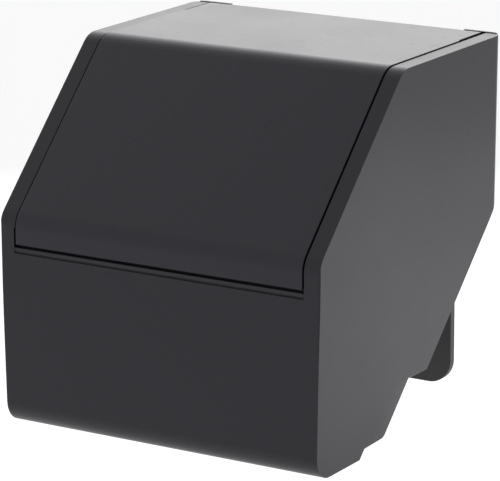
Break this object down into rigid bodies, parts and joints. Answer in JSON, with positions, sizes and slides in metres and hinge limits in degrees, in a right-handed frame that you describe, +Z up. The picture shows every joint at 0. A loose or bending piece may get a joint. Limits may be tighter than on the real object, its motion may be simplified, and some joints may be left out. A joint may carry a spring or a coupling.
{
  "type": "bait station",
  "caption": "Wall-hung rodent bait station: black box with a sloping hinged lid, wall bracket, entry panel, baffle, key lock and lift-out bait tray.",
  "frame": {"origin": "centre of the wall bracket's rear face, on the wall", "axes": "+Z up, +Y into the wall, +X to the right as seen from the front"},
  "size_m": [0.2, 0.201, 0.2069],
  "materials": {
    "shell": "satin moulded",
    "inner": "fine grained",
    "bracket": "fine grained",
    "tray": "satin moulded",
    "rubber": "matt",
    "steel": "zinc plated",
    "brass": "machined",
    "wax": "pressed wax"
  },
  "bodies": {
    "bracket": {"wall_bracket": "bracket"},
    "station": {"housing": "shell", "hinge_pin_left": "steel", "hinge_pin_right": "steel", "lid_seal_left": "rubber", "lid_seal_right": "rubber", "lock_bush": "inner", "spindle_bracket": "inner", "bracket_screw_left": "steel", "bracket_screw_right": "steel", "entry_panel": "inner", "panel_screw_lower_left": "steel", "panel_screw_lower_right": "steel", "panel_screw_upper_left": "steel", "panel_screw_upper_right": "steel", "baffle": "inner"},
    "lid": {"lid": "shell", "lid_catch": "steel", "catch_screw_left": "steel", "catch_screw_right": "steel"},
    "lock": {"lock_barrel": "brass", "retaining_ring": "steel", "lock_spindle": "steel", "lock_cam": "steel", "cam_nut": "steel"},
    "tray": {"bait_tray": "tray", "bait_rod_front": "steel", "bait_rod_rear": "steel", "bait_block_front_left": "wax", "bait_block_front_right": "wax", "bait_block_rear_left": "wax", "bait_block_rear_right": "wax"}
  },
  "joints": [
    {"name": "station_lift", "type": "slide", "parent": "bracket", "child": "station", "axis": [0, 0, 1], "range_m": [0, 0.012]},
    {"name": "lid_hinge", "type": "hinge", "parent": "station", "child": "lid", "pos_m": [0, -0.0085, 0.1096], "axis": [-1, 0, 0], "range_deg": [0, 88]},
    {"name": "lock_turn", "type": "hinge", "parent": "station", "child": "lock", "pos_m": [0, -0.1705, 0], "axis": [0, 0, -1], "range_deg": [0, 90]},
    {"name": "tray_lift", "type": "slide", "parent": "station", "child": "tray", "axis": [0, 0, 1], "range_m": [0, 0.07]}
  ]
}
